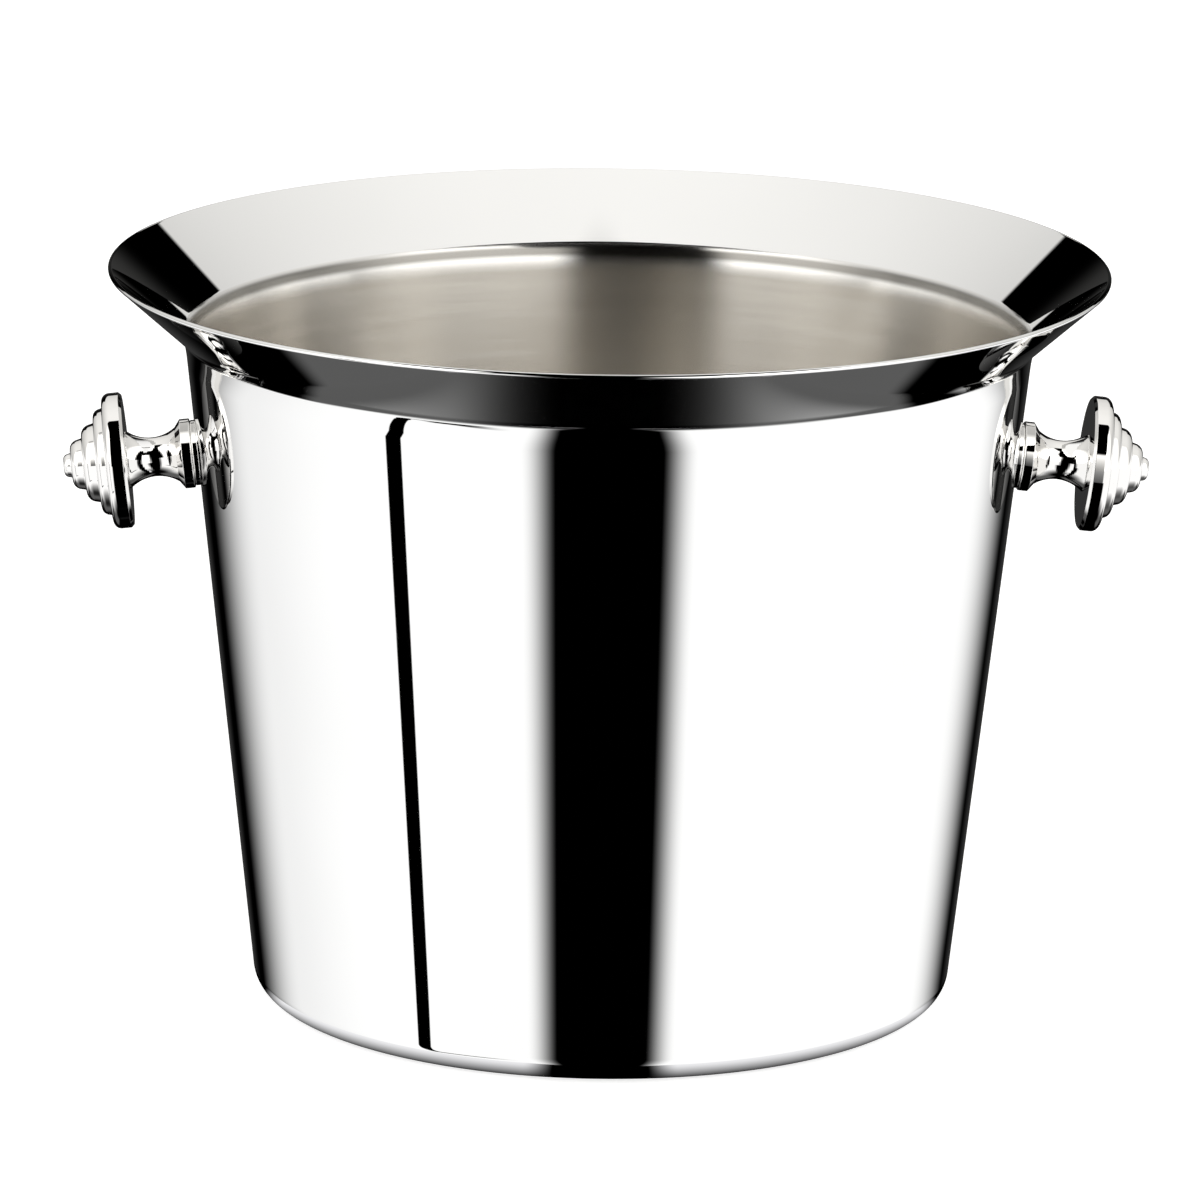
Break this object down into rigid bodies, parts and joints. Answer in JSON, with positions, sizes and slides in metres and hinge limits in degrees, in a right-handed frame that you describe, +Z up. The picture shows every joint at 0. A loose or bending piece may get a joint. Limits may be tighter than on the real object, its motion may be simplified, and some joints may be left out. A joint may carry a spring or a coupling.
{
  "type": "champagne bucket",
  "caption": "Polished metal champagne bucket with straight leaning walls, a wide flared lip and a turned, stepped side knob on either side.",
  "frame": {"origin": "centre of the base, on the plane the bucket stands on", "axes": "+Z up along the bucket's axis, +X through the right knob"},
  "size_m": [0.272, 0.2496, 0.1862],
  "materials": {
    "body_silver": "mirror-polished outside and on the lip, fine satin brushed inside",
    "polished_silver": "mirror-polished turned metal",
    "plain_steel": "plain turned stainless steel",
    "grey_silicone": "matt translucent silicone"
  },
  "bodies": {
    "root": {"bucket_body": "body_silver", "right_knob_collar": "polished_silver", "right_knob_neck": "polished_silver", "right_knob_head": "polished_silver", "right_wall_seal": "grey_silicone", "right_screw_washer": "plain_steel", "right_knob_screw": "plain_steel", "left_knob_collar": "polished_silver", "left_knob_neck": "polished_silver", "left_knob_head": "polished_silver", "left_wall_seal": "grey_silicone", "left_screw_washer": "plain_steel", "left_knob_screw": "plain_steel"}
  },
  "joints": []
}
